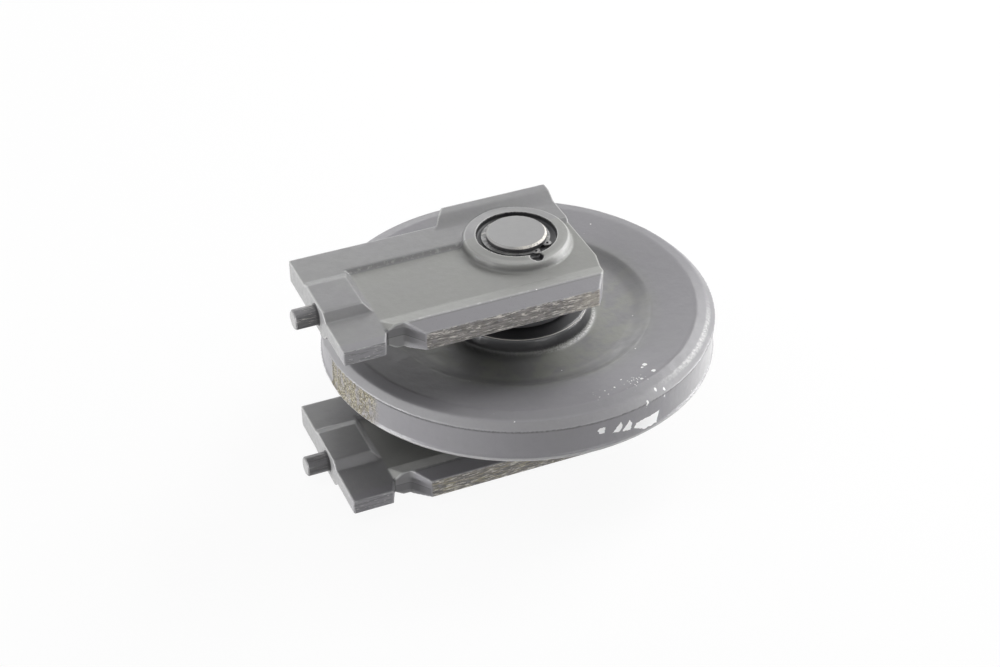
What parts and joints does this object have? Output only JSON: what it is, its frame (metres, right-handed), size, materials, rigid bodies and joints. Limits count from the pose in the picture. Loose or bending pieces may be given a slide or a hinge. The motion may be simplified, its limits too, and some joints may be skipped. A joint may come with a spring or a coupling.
{
  "type": "excavator front idler",
  "caption": "Excavator front idler: a plain rimmed wheel that turns on a fixed shaft between slide brackets with rear stub pins.",
  "frame": {"origin": "centre of the wheel, where the shaft's axis meets the wheel's mid-plane", "axes": "+Z along the shaft, +X towards the front, stub pins towards -X"},
  "size_m": [0.4413, 0.4, 0.2192],
  "materials": {
    "paint": "satin",
    "shaft_steel": "satin",
    "pin_steel": "satin",
    "spring_steel": "satin",
    "seal_steel": "polished",
    "bronze": "satin",
    "rubber": "matte"
  },
  "bodies": {
    "carrier": {"bracket_upper": "paint", "bracket_lower": "paint", "shaft": "shaft_steel", "fixed_seal_ring_upper": "seal_steel", "fixed_seal_ring_lower": "seal_steel", "fixed_seal_rubber_upper": "rubber", "fixed_seal_rubber_lower": "rubber", "shaft_rubber_upper": "rubber", "shaft_rubber_lower": "rubber", "snap_ring_upper": "spring_steel", "snap_ring_lower": "spring_steel", "stub_pin_upper": "pin_steel", "stub_pin_lower": "pin_steel", "lock_pin_upper": "pin_steel", "lock_pin_lower": "pin_steel", "oil_plug": "pin_steel"},
    "wheel": {"idler_wheel": "paint", "bushing_upper": "bronze", "bushing_lower": "bronze", "rotating_seal_ring_upper": "seal_steel", "rotating_seal_ring_lower": "seal_steel", "rotating_seal_rubber_upper": "rubber", "rotating_seal_rubber_lower": "rubber"}
  },
  "joints": [
    {"name": "wheel_spin", "type": "hinge", "parent": "carrier", "child": "wheel", "pos_m": [0, 0, 0], "axis": [0, 0, 1], "continuous": true}
  ]
}
